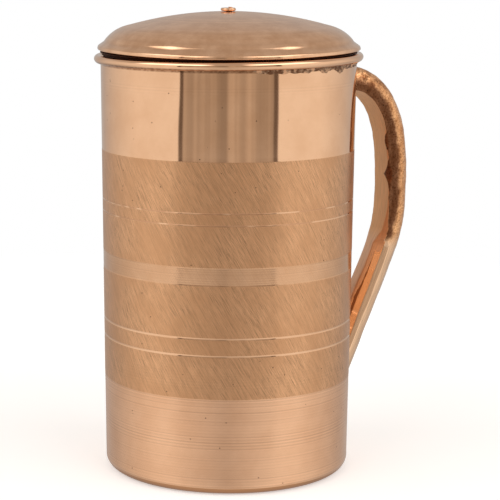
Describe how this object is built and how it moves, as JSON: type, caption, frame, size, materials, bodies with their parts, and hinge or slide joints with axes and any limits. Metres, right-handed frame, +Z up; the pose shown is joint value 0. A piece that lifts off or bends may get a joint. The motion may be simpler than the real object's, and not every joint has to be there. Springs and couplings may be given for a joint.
{
  "type": "lidded water jug",
  "caption": "Tall cylindrical copper water jug with a rolled rim, a cast loop handle brazed to one side and a domed lift-off lid with a small rivet button.",
  "frame": {"origin": "on the jug's turning axis, at the underside of its flat base", "axes": "+Z up along the turning axis, +X towards the handle, so the XZ plane mirrors the jug and +Y is across the handle"},
  "size_m": [0.1379, 0.1134, 0.1975],
  "materials": {
    "body_copper": "spun copper sheet, mirror polished above and below a satin band with diagonal brushing",
    "wire_copper": "drawn copper wire, dull",
    "handle_cast": "cast copper alloy, polished grip back with ground flats and as-cast grain",
    "solder": "braze and solder metal, rough and dull",
    "lid_copper": "spun copper sheet, soft polish",
    "collar_copper": "copper strip, dull inside the lid",
    "rivet_copper": "bright copper rivet"
  },
  "bodies": {
    "jug": {"body_shell": "body_copper", "rim_wire": "wire_copper", "rim_solder": "solder", "handle": "handle_cast", "upper_braze": "solder", "lower_braze": "solder"},
    "lid": {"lid_shell": "lid_copper", "lid_collar": "collar_copper", "collar_solder": "solder", "lid_button": "rivet_copper", "rivet_burr": "rivet_copper"}
  },
  "joints": [
    {"name": "lid_lift", "type": "slide", "parent": "jug", "child": "lid", "axis": [0, 0, 1], "range_m": [0, 0.06]}
  ]
}
